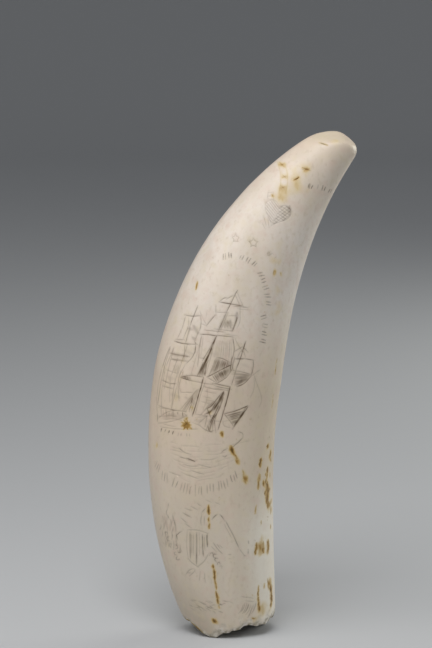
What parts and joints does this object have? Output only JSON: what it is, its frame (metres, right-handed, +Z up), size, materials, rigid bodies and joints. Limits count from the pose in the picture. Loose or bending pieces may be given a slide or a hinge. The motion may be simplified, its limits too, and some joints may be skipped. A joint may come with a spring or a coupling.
{
  "type": "scrimshaw whale tooth",
  "caption": "Curved, engraved whale tooth that stands upright on its broken hollow root, with two small worn facets at the tip.",
  "frame": {"origin": "on the table, under the middle of the box round the standing tooth", "axes": "+Z up from the root to the tip, +X towards the side the tip leans to, +Y away from the engraved face"},
  "size_m": [0.0698, 0.0346, 0.1706],
  "materials": {
    "polished_ivory": "hand-polished tooth ivory, satin, with engraved lines rubbed with dark pigment and brown age stains"
  },
  "bodies": {
    "root": {"tooth": "polished_ivory"}
  },
  "joints": []
}
